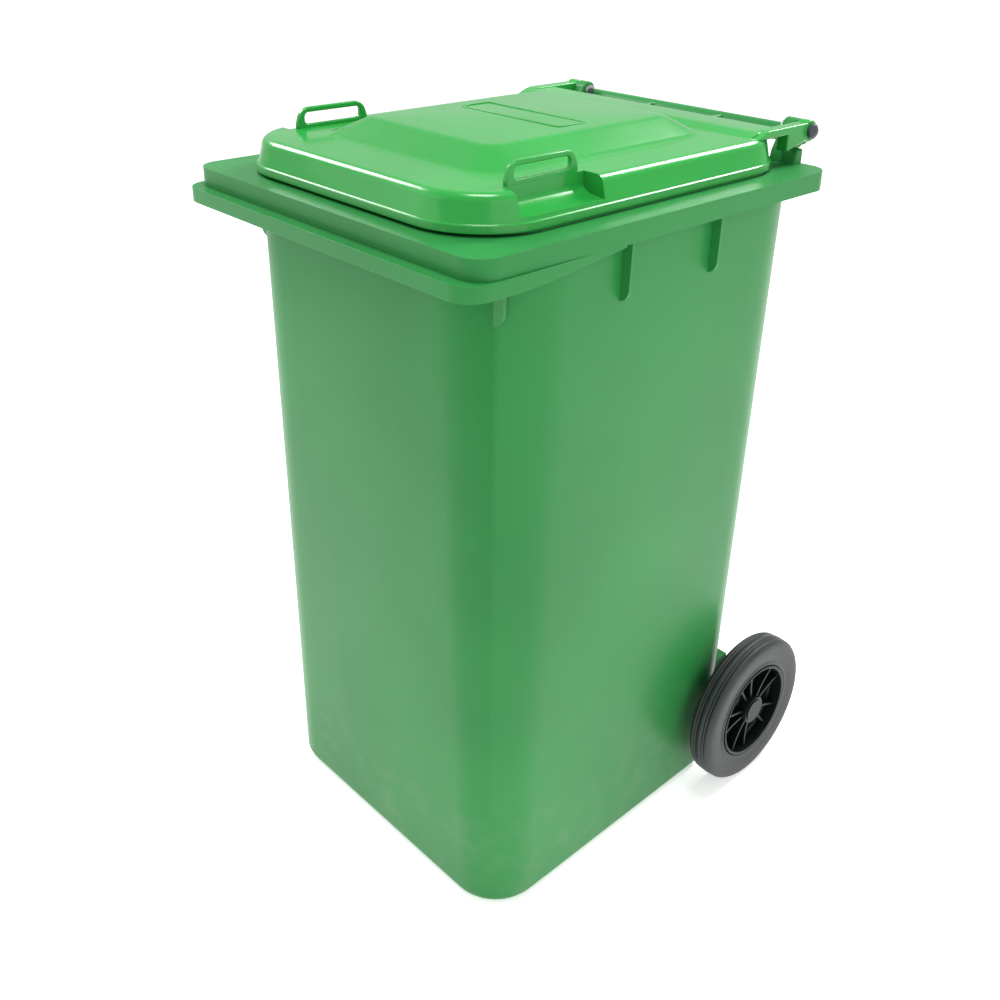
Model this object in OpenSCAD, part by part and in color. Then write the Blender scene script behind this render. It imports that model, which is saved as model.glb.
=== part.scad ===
// Two-wheeled refuse bin of the 240-litre class: a tapered tub with a comb lifting lip,
// a hinged lid with two side handles, and two rubber wheels on a steel axle.
// Origin: centre of the footprint, on the ground. +X is the bin's left-to-right,
// +Y points to the wheels and the handle, +Z is up.

/* [Tub] */
// Height of the rim's top face above the ground
rim_z = 1000; // [850:1:1200]
// Width of the tub at the top
tub_top_w = 538; // [460:1:600]
// How far each side wall leans in from rim to floor
side_lean = 13; // [4:1:30]
// Depth of the tub at the top
tub_top_d = 592; // [520:1:700]
// How far the front wall leans back from rim to floor
front_lean = 12; // [4:1:40]
// How far the rear wall leans forward from rim to floor
rear_lean = 44; // [10:1:60]
// Corner radius of the tub at the top
tub_top_r = 106; // [70:1:125]
// Corner radius of the tub at the floor
tub_floor_r = 74; // [50:1:95]
// Radius of the rounded edge round the floor
floor_edge_r = 16; // [8:1:26]
// Thickness of the tub's walls
wall = 4; // [3:0.5:6]
// Thickness of the tub's floor
floor_t = 6; // [4:0.5:10]
// Height of the tapered shoulder between the tub's walls and the mouth
shoulder_h = 24; // [20:1:40]

/* [Rim and lifting lip] */
// How far the rim stands out past the tub on each side
rim_over = 18.5; // [12:0.5:30]
// How far the rim stands out past the tub at the front
rim_front_over = 47; // [35:1:70]
// How far the rim stands out past the tub at the rear
rim_rear_over = 16; // [12:1:25]
// Outer corner radius of the rim
rim_r = 32; // [20:1:60]
// Thickness of the rim's top plate
rim_t = 5; // [4:0.5:8]
// Thickness of the rim's skirt
skirt_t = 4; // [3:0.5:6]
// Depth of the skirt along the sides and the rear
skirt_h = 26; // [20:1:32]
// How far the lifting lip stands out past the rim
lip_out = 17; // [10:1:30]
// Depth of the lip's top face below the rim's
lip_drop = 25; // [15:1:35]
// Depth of the lip's own skirt
lip_h = 19; // [12:1:30]
// Gap from each of the tub's side walls to the mouth
mouth_side = 31; // [20:1:50]
// Gap from the tub's front wall to the mouth
mouth_front = 8; // [5:1:20]
// Gap from the mouth to the tub's rear wall
mouth_rear = 24; // [16:1:40]
// Corner radius of the mouth
mouth_r = 86; // [60:1:110]
// Height of the rain bead round the mouth
bead_h = 3; // [2:0.5:8]
// Thickness of the fins and ribs under the rim
rib_t = 5; // [4:0.5:8]
// Depth of the ribs behind the front lip, from the rim's top
rib_drop = 76; // [60:1:100]
// Depth of the fins and gussets under the sides and rear of the rim, from its top
fin_drop = 95; // [70:1:140]
// Place of the first side fin behind the tub's front wall
fin_front = 27; // [20:1:120]

/* [Lid] */
// Gap between the rim's side edges and the lid's
lid_side = 42.5; // [38:0.5:48]
// Gap between the rim's front edge and the lid's
lid_setback = 30; // [20:1:45]
// Gap between the rim's rear edge and the lid's
lid_rear = 23; // [18:1:30]
// Corner radius of the lid
lid_r = 100; // [70:1:130]
// Height of the lid's skirt
lid_h = 42; // [34:1:60]
// Radius of the lid's rounded upper edge
lid_edge_r = 12; // [6:1:18]
// How far the lid's skirt leans in from its foot to its top
lid_lean = 9; // [2:1:16]
// Thickness of the lid
lid_t = 3; // [2.5:0.5:5]
// Height of the gap between the rim and the closed lid's skirt
lid_gap = 4; // [3:0.5:8]
// Distance from each of the lid's sides to the raised middle
crown_side = 80; // [76:1:100]
// Distance from the lid's front to the raised middle
crown_front = 92; // [70:1:110]
// Distance from the lid's rear to the raised middle
crown_rear = 100; // [95:1:140]
// Height of the raised middle above the lid's flat top
crown_h = 24; // [12:1:35]
// Width of the sloping band round the raised middle
crown_slope = 42; // [25:1:60]
// Distance from the top edge of the raised middle's side to the outlined panel
panel_side = 28; // [15:1:60]
// Depth of the outlined panel
panel_d = 54; // [30:1:90]

/* [Lid handles] */
// Length of each handle along the lid's side
grip_l = 122; // [100:1:160]
// Distance from the lid's front to the handles
grip_front = 78; // [60:1:110]
// Height of a handle above the lid's flat top
grip_h = 27; // [22:1:40]
// Thickness of a handle
grip_t = 7; // [5:0.5:12]
// Distance from the lid's side to the handle's outer face
grip_in = 38; // [32:1:46]
// Length of the finger slot in a handle
slot_l = 90; // [80:1:110]
// Height of the finger slot in a handle
slot_h = 15; // [12:1:24]
// Height of the scoop's floor above the lid's foot
scoop_z = 12; // [9:1:18]

/* [Hinge and handle bar] */
// Height of the hinge axis above the rim
hinge_up = 42; // [38:1:50]
// Distance of the hinge axis behind the rim
hinge_back = 18; // [16:1:26]
// Distance from the lid's side to the outer face of each lid lug
lug_in = 12; // [8:1:40]
// Width of each lid lug
lug_w = 20; // [14:1:26]
// Radius of the lid lugs
lug_r = 15; // [11:0.5:16]
// Width of each ear that holds a hinge pin
ear_w = 20; // [14:1:26]
// Diameter of the hinge pins
pin_d = 12; // [8:0.5:14]
// Diameter of a hinge pin's domed head
pin_head_d = 21; // [18:0.5:26]
// Thickness of a hinge pin's domed head
pin_head_t = 9; // [6:0.5:12]
// Thickness of the clip on a hinge pin
clip_t = 4; // [2:0.5:6]
// Diameter of the handle bar
bar_d = 26; // [22:1:28]
// Distance of the handle bar behind the hinge axis
bar_back = 20; // [16:1:22]
// Height of the handle bar below the hinge axis
bar_down = 12; // [8:1:14]

/* [Axle and wheels] */
// Diameter of the wheels
wheel_d = 250; // [200:1:300]
// Width of a tyre
tyre_w = 42; // [36:1:60]
// Inner diameter of a tyre
tyre_bore_d = 160; // [130:1:190]
// Gap between the side of the tub's floor and a wheel's inner face
wheel_out = 25; // [18:1:60]
// Distance from the side of the tub's floor to the outer face of the outer saddles
saddle_in = 14; // [10:1:40]
// Distance from the axle to the front edge of the wheel arch
arch_front = 52; // [45:1:80]
// Diameter of the axle
axle_d = 20; // [16:0.5:26]
// Distance of the axle in front of the tub's rear wall at the rim
axle_in = 59; // [50:1:90]
// Width of the saddles that carry the axle
saddle_w = 26; // [18:1:40]
// Thickness of the hub's rim and disc
hub_t = 5; // [4:0.5:8]
// Diameter of the hub's middle
boss_d = 46; // [42:1:60]
// Number of V-shaped spokes in a hub
spokes = 5; // [3:1:8]
// Angle between the two arms of a V-shaped spoke
spoke_fan = 27; // [18:1:32]
// Thickness of a hub bush
bush_t = 3; // [2:0.5:4]
// Outer diameter of the spacer between a saddle and a wheel
spacer_d = 34; // [28:1:42]
// Diameter of the wheel's lock pin
lock_d = 6; // [4:0.5:7]
// How far the lock pin reaches into the axle's groove
lock_reach = 2.5; // [1.5:0.1:3]

/* [Fits] */
// Radial clearance of a pin or shaft in the bore that turns on it
run_gap = 0.08; // [0.03:0.01:0.1]
// Clearance between flat faces that pass each other
side_gap = 0.5; // [0.3:0.1:1]
// Gap between the closed lid and the nibs that it rests on
rest_gap = 0.1; // [0.05:0.05:0.3]

/* [Hidden] */
$fn = 96;
eps = 0.01;

tub_green = [0.30, 0.58, 0.36];
lid_green = [0.28, 0.68, 0.36];
tyre_grey = [0.27, 0.29, 0.30];
hub_black = [0.09, 0.11, 0.12];
pin_grey = [0.33, 0.35, 0.38];
steel = [0.72, 0.73, 0.74];

// plan of the tub and the rim, measured back from the lip's front edge
wall_front = lip_out + rim_front_over;
wall_rear = wall_front + tub_top_d;
rim_front = lip_out;
rim_rear = wall_rear + rim_rear_over;
rim_w = tub_top_w + 2 * rim_over;
tub_floor_w = tub_top_w - 2 * side_lean;
mouth_w = tub_top_w - 2 * mouth_side;
lid_w = rim_w - 2 * lid_side;
crown_w = lid_w - 2 * crown_side;
panel_w = crown_w - 2 * crown_slope - 2 * panel_side;
lug_x = lid_w / 2 - lug_in;
hinge_d = rim_rear + hinge_back;
bar_rear = hinge_d + bar_back + bar_d / 2;
axle_at = wall_rear - axle_in;
overall_d = max(bar_rear, axle_at + wheel_d / 2);
front_y = -overall_d / 2;

tub_front_y = front_y + wall_front;
tub_rear_y = front_y + wall_rear;
floor_rear_y = tub_rear_y - rear_lean;
floor_front_y = tub_front_y + front_lean;
rim_front_y = front_y + rim_front;
rim_rear_y = front_y + rim_rear;
mouth_front_y = tub_front_y + mouth_front;
mouth_rear_y = tub_rear_y - mouth_rear;
shoulder_z = rim_z - rim_t - shoulder_h;

hinge_y = front_y + hinge_d;
hinge_z = rim_z + hinge_up;
ear_x = lug_x - lug_w - side_gap;
pin_bore_r = pin_d / 2 + run_gap;

lid_foot_z = rim_z + lid_gap;
lid_top_z = lid_foot_z + lid_h;
lid_front_y = rim_front_y + lid_setback;
lid_rear_y = rim_rear_y - lid_rear;
crown_front_y = lid_front_y + crown_front;
crown_rear_y = lid_rear_y - crown_rear;
panel_y = (crown_front_y + crown_rear_y) / 2 + 6;
crown_top_z = lid_top_z + crown_h;
grip_x = lid_w / 2 - grip_in;
grip_y = lid_front_y + grip_front;
scoop_margin = 5;

axle_y = front_y + axle_at;
axle_z = wheel_d / 2;
axle_r = axle_d / 2;
wheel_x = tub_floor_w / 2 + wheel_out;
wheel_mid_x = wheel_x + tyre_w / 2;
saddle_x = tub_floor_w / 2 - saddle_in;
bore_r = axle_r + bush_t;
lock_x = wheel_mid_x;
axle_end_x = wheel_x + tyre_w - 12;
arch_front_y = axle_y - arch_front;
arch_top_z = axle_z + arch_front;

// a rectangle with round corners, from its four edges
module round_plan(x0, x1, y0, y1, r) {
    translate([x0 + r, y0]) square([x1 - x0 - 2 * r, y1 - y0]);
    translate([x0, y0 + r]) square([x1 - x0, y1 - y0 - 2 * r]);
    for (x = [x0 + r, x1 - r], y = [y0 + r, y1 - r]) translate([x, y]) circle(r);
}

module slab(w, y0, y1, r, z0, z1) {
    translate([0, 0, z0])
        linear_extrude(z1 - z0) round_plan(-w / 2, w / 2, y0, y1, r);
}

// the four corner posts that a tapered box is wrapped round
module corner_discs(w, y0, y1, r, z, edge_r = 0) {
    for (x = [-1, 1], y = [y0 + r, y1 - r])
        translate([x * (w / 2 - r), y, z])
            rotate_extrude($fn = 64) edge_section(r, edge_r);
}

module edge_section(r, edge_r) {
    if (edge_r > 0) {
        square([r - edge_r, 1]);
        translate([r - edge_r, edge_r])
            intersection() {
                circle(edge_r, $fn = 32);
                translate([0, -edge_r]) square(edge_r);
            }
    } else {
        square([r, eps]);
    }
}

// a profile in Y and Z, extruded along X between two faces
module across(x0, x1) {
    translate([x0, 0, 0]) rotate([90, 0, 90]) linear_extrude(x1 - x0) children();
}

// a cylinder along X, with its low end at x0
module shaft(x0, x1, r) {
    translate([x0, 0, 0]) rotate([0, 90, 0]) cylinder(h = x1 - x0, r = r);
}

module at_axle() {
    translate([0, axle_y, axle_z]) children();
}

module at_hinge() {
    translate([0, hinge_y, hinge_z]) children();
}

module on_side(side) {
    if (side < 0) mirror([1, 0, 0]) children();
    else children();
}

// ---- tub ----

// the tub, widest at its shoulder and closing in to the mouth; shrunk by t for the inside
module tub_shape(t, base_z) {
    edge_r = max(floor_edge_r - t, 4);
    mouth_over = t > 0 ? 1 : wall;
    hull() {
        corner_discs(tub_floor_w - 2 * t, floor_front_y + t, floor_rear_y - t,
            tub_floor_r - t, base_z, edge_r);
        corner_discs(tub_top_w - 2 * t, tub_front_y + t, tub_rear_y - t,
            tub_top_r - t, shoulder_z);
        corner_discs(mouth_w + 2 * mouth_over, mouth_front_y - mouth_over,
            mouth_rear_y + mouth_over, mouth_r + mouth_over, rim_z - 1);
    }
}

// the room for the axle at the rear of the floor, grown by t for the inside
module arch_profile(t) {
    r = 30;
    polygon([
        [arch_front_y - t, -50],
        [arch_front_y - t, arch_top_z + t - r],
        for (a = [180:-10:90])
            [arch_front_y - t + r + r * cos(a), arch_top_z + t - r + r * sin(a)],
        [tub_rear_y + 50, arch_top_z + t + 24],
        [tub_rear_y + 50, -50]]);
}

module arch(t) {
    across(-tub_floor_w, tub_floor_w) arch_profile(t);
}

module tub() {
    difference() {
        tub_shape(0, 0);
        arch(0);
        difference() {
            tub_shape(wall, floor_t);
            arch(wall);
        }
        slab(mouth_w, mouth_front_y, mouth_rear_y, mouth_r, rim_z - 1.5, rim_z + 50);
        slab(tub_floor_w - 90, floor_front_y + 45, arch_front_y - 40, tub_floor_r - 40, -1, 2);
    }
}

// ---- rim ----

module rim_plan(inset) {
    round_plan(-rim_w / 2 + inset, rim_w / 2 - inset,
        rim_front_y + inset, rim_rear_y - inset, rim_r - inset);
}

module lip_plan(inset) {
    round_plan(-rim_w / 2 + inset, rim_w / 2 - inset,
        front_y + inset, rim_rear_y - inset, rim_r - inset);
}

// the side view of the lip: deep at the front, fading into the rim's skirt
module lip_side(drop) {
    fade_y = rim_front_y + 250;
    top = rim_z - lip_drop;
    polygon([
        [front_y - 1, top - lip_h],
        [rim_front_y + 40, top - lip_h],
        [fade_y, rim_z - skirt_h],
        [rim_rear_y + 1, rim_z - skirt_h],
        [rim_rear_y + 1, rim_z - drop],
        [front_y - 1, rim_z - drop]]);
}

module rim() {
    // top plate with the tub's mouth through it
    difference() {
        translate([0, 0, rim_z - rim_t]) linear_extrude(rim_t) rim_plan(0);
        slab(mouth_w, mouth_front_y, mouth_rear_y, mouth_r, rim_z - 50, rim_z + 1);
    }
    // rain bead round the mouth
    difference() {
        slab(mouth_w + 6, mouth_front_y - 3, mouth_rear_y + 3, mouth_r + 3, rim_z - 1, rim_z + bead_h);
        slab(mouth_w, mouth_front_y, mouth_rear_y, mouth_r, rim_z - 2, rim_z + bead_h + 1);
    }
    // skirt round the rim
    translate([0, 0, rim_z - skirt_h])
        linear_extrude(skirt_h)
            difference() {
                rim_plan(0);
                rim_plan(skirt_t);
            }
    // lip: a step out from the rim, and the skirt below it
    intersection() {
        translate([0, 0, rim_z - 100])
            linear_extrude(100)
                difference() {
                    lip_plan(0);
                    lip_plan(skirt_t);
                }
        across(-rim_w, rim_w) lip_side(lip_drop);
    }
    translate([0, 0, rim_z - lip_drop - rim_t])
        linear_extrude(rim_t)
            difference() {
                lip_plan(0);
                translate([-rim_w, rim_front_y + skirt_t + rim_r]) square([2 * rim_w, 2 * overall_d]);
                rim_plan(skirt_t);
            }
}

// nibs on the rim, under the lid's skirt
module rest_nibs() {
    nib_w = 16;
    for (x = [-lid_w / 4, lid_w / 4], y = [lid_front_y, lid_rear_y - lid_t])
        translate([x - nib_w / 2, y, rim_z - 1]) cube([nib_w, lid_t, lid_gap + 1 - rest_gap]);
}

// ribs under the lip and fins under the rim's sides
module ribs() {
    front_rib_gap = 90;
    side_fin_gap = 170;
    for (i = [-1.5:1:1.5])
        across(i * front_rib_gap - rib_t / 2, i * front_rib_gap + rib_t / 2)
            polygon([
                [front_y + 1, rim_z - lip_drop - 2],
                [front_y + 1, rim_z - lip_drop - lip_h + 3],
                [tub_front_y - 6, rim_z - rib_drop],
                [tub_front_y + 2, rim_z - rib_drop],
                [tub_front_y + 2, rim_z - rim_t + 1],
                [rim_front_y + 2, rim_z - rim_t + 1],
                [rim_front_y + 2, rim_z - lip_drop - 2]]);
    for (side = [-1, 1], i = [0:2])
        on_side(side) side_fin(tub_front_y + fin_front + i * side_fin_gap);
}

// how far the tub's rounded front corner has turned in from the side wall, at a place along it
function corner_in(y) =
    tub_top_r - sqrt(pow(tub_top_r, 2) - pow(max(0, tub_front_y + tub_top_r - y), 2));

module side_fin(y) {
    fin_r = 8;
    inner_x = tub_top_w / 2 - 6;
    outer_x = rim_w / 2 - 1;
    low_z = rim_z - fin_drop;
    translate([-corner_in(y), y + rib_t / 2, 0])
        rotate([90, 0, 0])
            linear_extrude(rib_t) {
                polygon([
                    [inner_x, rim_z - rim_t + 1],
                    [outer_x, rim_z - rim_t + 1],
                    [outer_x - 2, low_z + fin_r],
                    [outer_x - 2 - fin_r, low_z],
                    [inner_x, low_z - 8]]);
                translate([outer_x - 2 - fin_r, low_z + fin_r]) circle(fin_r);
            }
}

// ---- hinge ears, handle bar and axle saddles ----

// side view of an ear: round the hinge axis, down to the rim and back to the bar
module ear_profile(with_boss) {
    foot = rim_z - hinge_z - 1;
    front = -hinge_back - 20;
    polygon([
        [front, foot],
        [front + 4, foot + 16],
        [-lug_r * 0.7, with_boss ? lug_r * 0.7 : -2],
        [bar_back, -bar_down + bar_d * 0.4],
        [bar_back, -bar_down - bar_d * 0.4],
        [0, foot + 10],
        [-hinge_back, foot]]);
    if (with_boss) circle(lug_r);
    translate([bar_back, -bar_down]) circle(bar_d / 2);
}

module hinge_ears() {
    at_hinge() {
        for (side = [-1, 1])
            on_side(side) {
                across(ear_x - ear_w, ear_x) ear_profile(true);
                across(ear_x - 1, lug_x + 2) ear_stop();
            }
        for (x = [-66, 66])
            across(x - rib_t, x + rib_t) ear_profile(false);
        translate([0, bar_back, -bar_down]) shaft(-ear_x + ear_w / 2, ear_x - ear_w / 2, bar_d / 2);
    }
}

// the block under each lid lug, joined to the ear beside it
module ear_stop() {
    foot = rim_z - hinge_z - 1;
    polygon([
        [-hinge_back - 18, foot],
        [-hinge_back - 14, foot + 18],
        [-hinge_back, foot + 22],
        [-hinge_back, foot]]);
}

// upright gussets on the rear wall, under the ears
module rear_gussets() {
    low_z = rim_z - fin_drop;
    for (x = [-ear_x + ear_w / 2, -66, 66, ear_x - ear_w / 2])
        across(x - rib_t / 2, x + rib_t / 2)
            polygon([
                [tub_rear_y - 7, low_z],
                [tub_rear_y + 1, low_z],
                [rim_rear_y - 1, rim_z - rim_t - 8],
                [rim_rear_y - 1, rim_z - rim_t + 1],
                [tub_rear_y - 7, rim_z - rim_t + 1]]);
}

// plates that hang in the wheel arch and hold the axle
module saddles() {
    for (x = [-saddle_x + saddle_w / 2, 0, saddle_x - saddle_w / 2])
        across(x - saddle_w / 2, x + saddle_w / 2) saddle_profile();
}

module saddle_profile() {
    boss = axle_r + 12;
    polygon([
        [arch_front_y - wall / 2, axle_z - 70],
        [arch_front_y - wall / 2, arch_top_z],
        [axle_y - 20, arch_top_z + 6],
        [axle_y + boss, arch_top_z + 6],
        [axle_y + boss, axle_z],
        [axle_y, axle_z - boss],
        [arch_front_y + 6, axle_z - 70]]);
    translate([axle_y, axle_z]) circle(boss);
}

module body() {
    color(tub_green)
        difference() {
            union() {
                tub();
                ribs_outside();
                rim();
                rest_nibs();
                hinge_ears();
                saddles();
            }
            at_hinge() shaft(-rim_w, rim_w, pin_bore_r);
            at_axle() shaft(-rim_w, rim_w, axle_r + run_gap);
        }
}

// ribs, fins and gussets, kept out of the tub's inside
module ribs_outside() {
    difference() {
        union() {
            ribs();
            rear_gussets();
        }
        tub_shape(wall / 2, floor_t);
    }
}

// ---- lid ----

module lid_shell_shape(t) {
    low = lid_foot_z - (t > 0 ? 1 : 0);
    hull() {
        corner_discs(lid_w - 2 * t, lid_front_y + t, lid_rear_y - t, lid_r - t, low);
        translate([0, 0, 2 * lid_top_z - 2 * t])
            mirror([0, 0, 1])
                translate([0, 0, lid_top_z - t])
                    corner_discs(lid_w - 2 * lid_lean - 2 * t, lid_front_y + lid_lean + t,
                        lid_rear_y - lid_lean - t, lid_r - lid_lean - t, 0,
                        max(lid_edge_r - t, 3));
    }
}

module crown_shape(t) {
    top_in = crown_slope + t;
    hull() {
        corner_discs(crown_w - 2 * t, crown_front_y + t, crown_rear_y - t, 40 - t,
            lid_top_z - t - 1);
        corner_discs(crown_w - 2 * top_in, crown_front_y + top_in, crown_rear_y - top_in,
            22 - t, crown_top_z - t);
    }
}

// the finger scoop outside a handle, grown by t for the underside
module scoop(t) {
    floor_z = lid_foot_z + scoop_z;
    translate([0, grip_y + grip_l + scoop_margin + t, 0])
        rotate([90, 0, 0])
            linear_extrude(grip_l + 2 * scoop_margin + 2 * t)
                polygon([
                    [grip_x - t, lid_top_z + 60],
                    [grip_x - t, floor_z + 14 - t],
                    [grip_x + 8 - t, floor_z + 6 - t],
                    [lid_w / 2 + 20, floor_z - t],
                    [lid_w / 2 + 20, lid_top_z + 60]]);
}

// an upright loop that stands on the lid, with a finger slot through it
module grip() {
    foot_z = lid_top_z - lid_t;
    top_z = lid_top_z + grip_h;
    slot_y = grip_y + (grip_l - slot_l) / 2;
    slot_z = top_z - 7 - slot_h;
    across(grip_x - grip_t, grip_x)
        difference() {
            union() {
                polygon([
                    [grip_y, foot_z - 6],
                    [grip_y + 12, top_z - 11],
                    [grip_y + grip_l - 12, top_z - 11],
                    [grip_y + grip_l, foot_z - 6]]);
                translate([grip_y + 11, top_z - 22]) square([grip_l - 22, 12]);
                translate([grip_y + 22, top_z - 22]) square([grip_l - 44, 22]);
                for (y = [grip_y + 22, grip_y + grip_l - 22]) translate([y, top_z - 11]) circle(11);
            }
            translate([slot_y, slot_z]) round_plan(0, slot_l, 0, slot_h, 6);
        }
}

// the raised band across the lid's rear, and the arms to the hinge lugs
module lid_rear_band() {
    band_z = lid_top_z + 6;
    across(-lug_x + lug_w / 2, lug_x - lug_w / 2)
        polygon([
            [lid_rear_y - 92, lid_top_z - 1],
            [lid_rear_y - 70, band_z],
            [lid_rear_y - 18, band_z],
            [lid_rear_y - lid_lean - 4, lid_top_z - 6],
            [lid_rear_y - 92, lid_top_z - 6]]);
}

module lid_arm() {
    across(lug_x - lug_w, lug_x)
        union() {
            polygon([
                [lid_rear_y - 90, lid_top_z - lid_t],
                [lid_rear_y - 60, hinge_z + 12],
                [hinge_y, hinge_z + 12],
                [hinge_y + 4, hinge_z - 12],
                [hinge_y - 8, hinge_z - 12],
                [lid_rear_y - 3, lid_foot_z + 18],
                [lid_rear_y - 14, lid_foot_z + 16],
                [lid_rear_y - 14, lid_top_z - lid_t]]);
            translate([hinge_y, hinge_z]) circle(lug_r);
        }
}

module panel_outline() {
    line_w = 3;
    translate([0, 0, crown_top_z - 1])
        linear_extrude(2.2)
            difference() {
                round_plan(-panel_w / 2, panel_w / 2, panel_y - panel_d / 2, panel_y + panel_d / 2, 8);
                round_plan(-panel_w / 2 + line_w, panel_w / 2 - line_w,
                    panel_y - panel_d / 2 + line_w, panel_y + panel_d / 2 - line_w, 5);
            }
}

module lid() {
    color(lid_green)
        difference() {
            union() {
                difference() {
                    union() {
                        lid_shell_shape(0);
                        crown_shape(0);
                        lid_rear_band();
                        slab(lid_w + 2, lid_front_y - 1, lid_rear_y + 1, lid_r + 1,
                            lid_foot_z, lid_foot_z + 9);
                    }
                    for (side = [-1, 1]) on_side(side) scoop(0);
                    difference() {
                        union() {
                            lid_shell_shape(lid_t);
                            crown_shape(lid_t);
                        }
                        for (side = [-1, 1]) on_side(side) scoop(lid_t);
                    }
                }
                for (side = [-1, 1])
                    on_side(side) {
                        grip();
                        lid_arm();
                    }
                panel_outline();
            }
            at_hinge() shaft(-rim_w, rim_w, pin_bore_r);
        }
}

// ---- hinge pins and clips ----

module hinge_pin(side) {
    tip_x = ear_x - ear_w - clip_t - 2;
    head_x = lug_x + side_gap;
    flat_t = pin_head_t * 0.45;
    dome_t = pin_head_t - flat_t;
    dome_r = (pin_head_d * pin_head_d / 4 + dome_t * dome_t) / (2 * dome_t);
    color(pin_grey)
        at_hinge() on_side(side) {
            shaft(ear_x - ear_w - side_gap / 2, head_x + 1, pin_d / 2);
            shaft(tip_x, ear_x - ear_w, pin_d / 2 - 1);
            shaft(head_x, head_x + flat_t, pin_head_d / 2);
            intersection() {
                translate([head_x + pin_head_t - dome_r, 0, 0]) rotate([0, 90, 0]) sphere(dome_r);
                shaft(head_x + flat_t - eps, head_x + pin_head_t + 1, pin_head_d / 2);
            }
        }
}

module pin_clip(side) {
    clip_x = ear_x - ear_w - side_gap / 2;
    color(steel)
        at_hinge() on_side(side)
            difference() {
                shaft(clip_x - clip_t, clip_x, pin_d / 2 + 4);
                shaft(clip_x - clip_t - 1, clip_x + 1, pin_d / 2 - 1 + run_gap);
            }
}

// ---- axle and wheels ----

module axle() {
    groove_r = axle_r - lock_reach - 0.5;
    groove_w = lock_d + 2;
    color(steel)
        at_axle()
            difference() {
                shaft(-axle_end_x, axle_end_x, axle_r);
                for (side = [-1, 1])
                    on_side(side)
                        difference() {
                            shaft(lock_x - groove_w / 2, lock_x + groove_w / 2, axle_r + 1);
                            shaft(lock_x - groove_w, lock_x + groove_w, groove_r);
                        }
            }
}

module axle_spacer(side) {
    color(hub_black)
        at_axle() on_side(side)
            difference() {
                shaft(saddle_x + side_gap, wheel_x - side_gap, spacer_d / 2);
                shaft(saddle_x, wheel_x, axle_r + run_gap);
            }
}

// section of a tyre in radius and width, with two grooves at each shoulder
module tyre_section() {
    shoulder = 12;
    r1 = wheel_d / 2;
    r0 = tyre_bore_d / 2;
    half = tyre_w / 2;
    difference() {
        union() {
            translate([r0, -half + 3]) square([r1 - shoulder - r0, tyre_w - 6]);
            translate([r0 + 6, -half]) square([r1 - shoulder - r0 - 6, tyre_w]);
            translate([r0, -half + shoulder]) square([r1 - r0, tyre_w - 2 * shoulder]);
            for (s = [-1, 1]) translate([r1 - shoulder, s * (half - shoulder)]) circle(shoulder);
        }
        for (s = [-1, 1], d = [5, 10])
            translate([r1 - 1.5, s * (half - shoulder + 5 - d)]) square([4, 2]);
    }
}

module about_x() {
    rotate([0, 90, 0]) children();
}

module tyre(side) {
    color(tyre_grey)
        at_axle() on_side(side)
            translate([wheel_mid_x, 0, 0]) about_x()
                rotate_extrude($fn = 128) tyre_section();
}

module hub_section() {
    r1 = tyre_bore_d / 2;
    half = tyre_w / 2;
    translate([r1 - hub_t, -half + 1]) square([hub_t, tyre_w - 2]);
    translate([bore_r, -hub_t / 2 - 6]) square([r1 - bore_r, hub_t]);
    translate([bore_r, -half]) square([boss_d / 2 - bore_r, tyre_w - 6]);
}

module spoke() {
    inner = boss_d / 2 - 2;
    outer = tyre_bore_d / 2 - hub_t + 1;
    half = tyre_w / 2;
    translate([inner, -2, -half + 6]) cube([outer - inner, 4, tyre_w - 14.5]);
}

module wheel_hub(side) {
    color(hub_black)
        at_axle() on_side(side)
            difference() {
                translate([wheel_mid_x, 0, 0]) about_x() {
                    rotate_extrude($fn = 128) hub_section();
                    for (i = [0:spokes - 1], fan = [-0.5, 0.5])
                        rotate([0, 0, i * 360 / spokes + 36 + fan * spoke_fan]) spoke();
                }
                translate([lock_x, 0, 0]) cylinder(h = boss_d / 2 - 3, r = lock_d / 2 + run_gap);
            }
}

module hub_bush(side) {
    color(pin_grey)
        at_axle() on_side(side)
            difference() {
                shaft(wheel_x, wheel_x + tyre_w - 9, bore_r);
                shaft(wheel_x - 1, wheel_x + tyre_w, axle_r + run_gap);
                translate([lock_x, 0, 0]) cylinder(h = boss_d, r = lock_d / 2 + run_gap);
            }
}

module hub_cap(side) {
    cap_x = wheel_x + tyre_w - 6;
    cap_r = boss_d / 2;
    color(hub_black)
        at_axle() on_side(side) {
            shaft(cap_x, cap_x + 3, cap_r);
            shaft(cap_x + 3 - eps, cap_x + 5, cap_r - 4);
        }
}

module lock_pin(side) {
    color(steel)
        at_axle() on_side(side)
            translate([lock_x, 0, axle_r - lock_reach]) cylinder(h = lock_reach + 5, r = lock_d / 2);
}

module lock_spring(side) {
    spring_z = axle_r + 5;
    color(steel)
        at_axle() on_side(side)
            translate([lock_x, 0, 0])
                difference() {
                    translate([0, 0, spring_z])
                        cylinder(h = boss_d / 2 - 3 - spring_z, r = lock_d / 2 - 0.3);
                    translate([0, 0, spring_z - 1]) cylinder(h = boss_d, r = lock_d / 2 - 1.1);
                }
}

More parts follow.
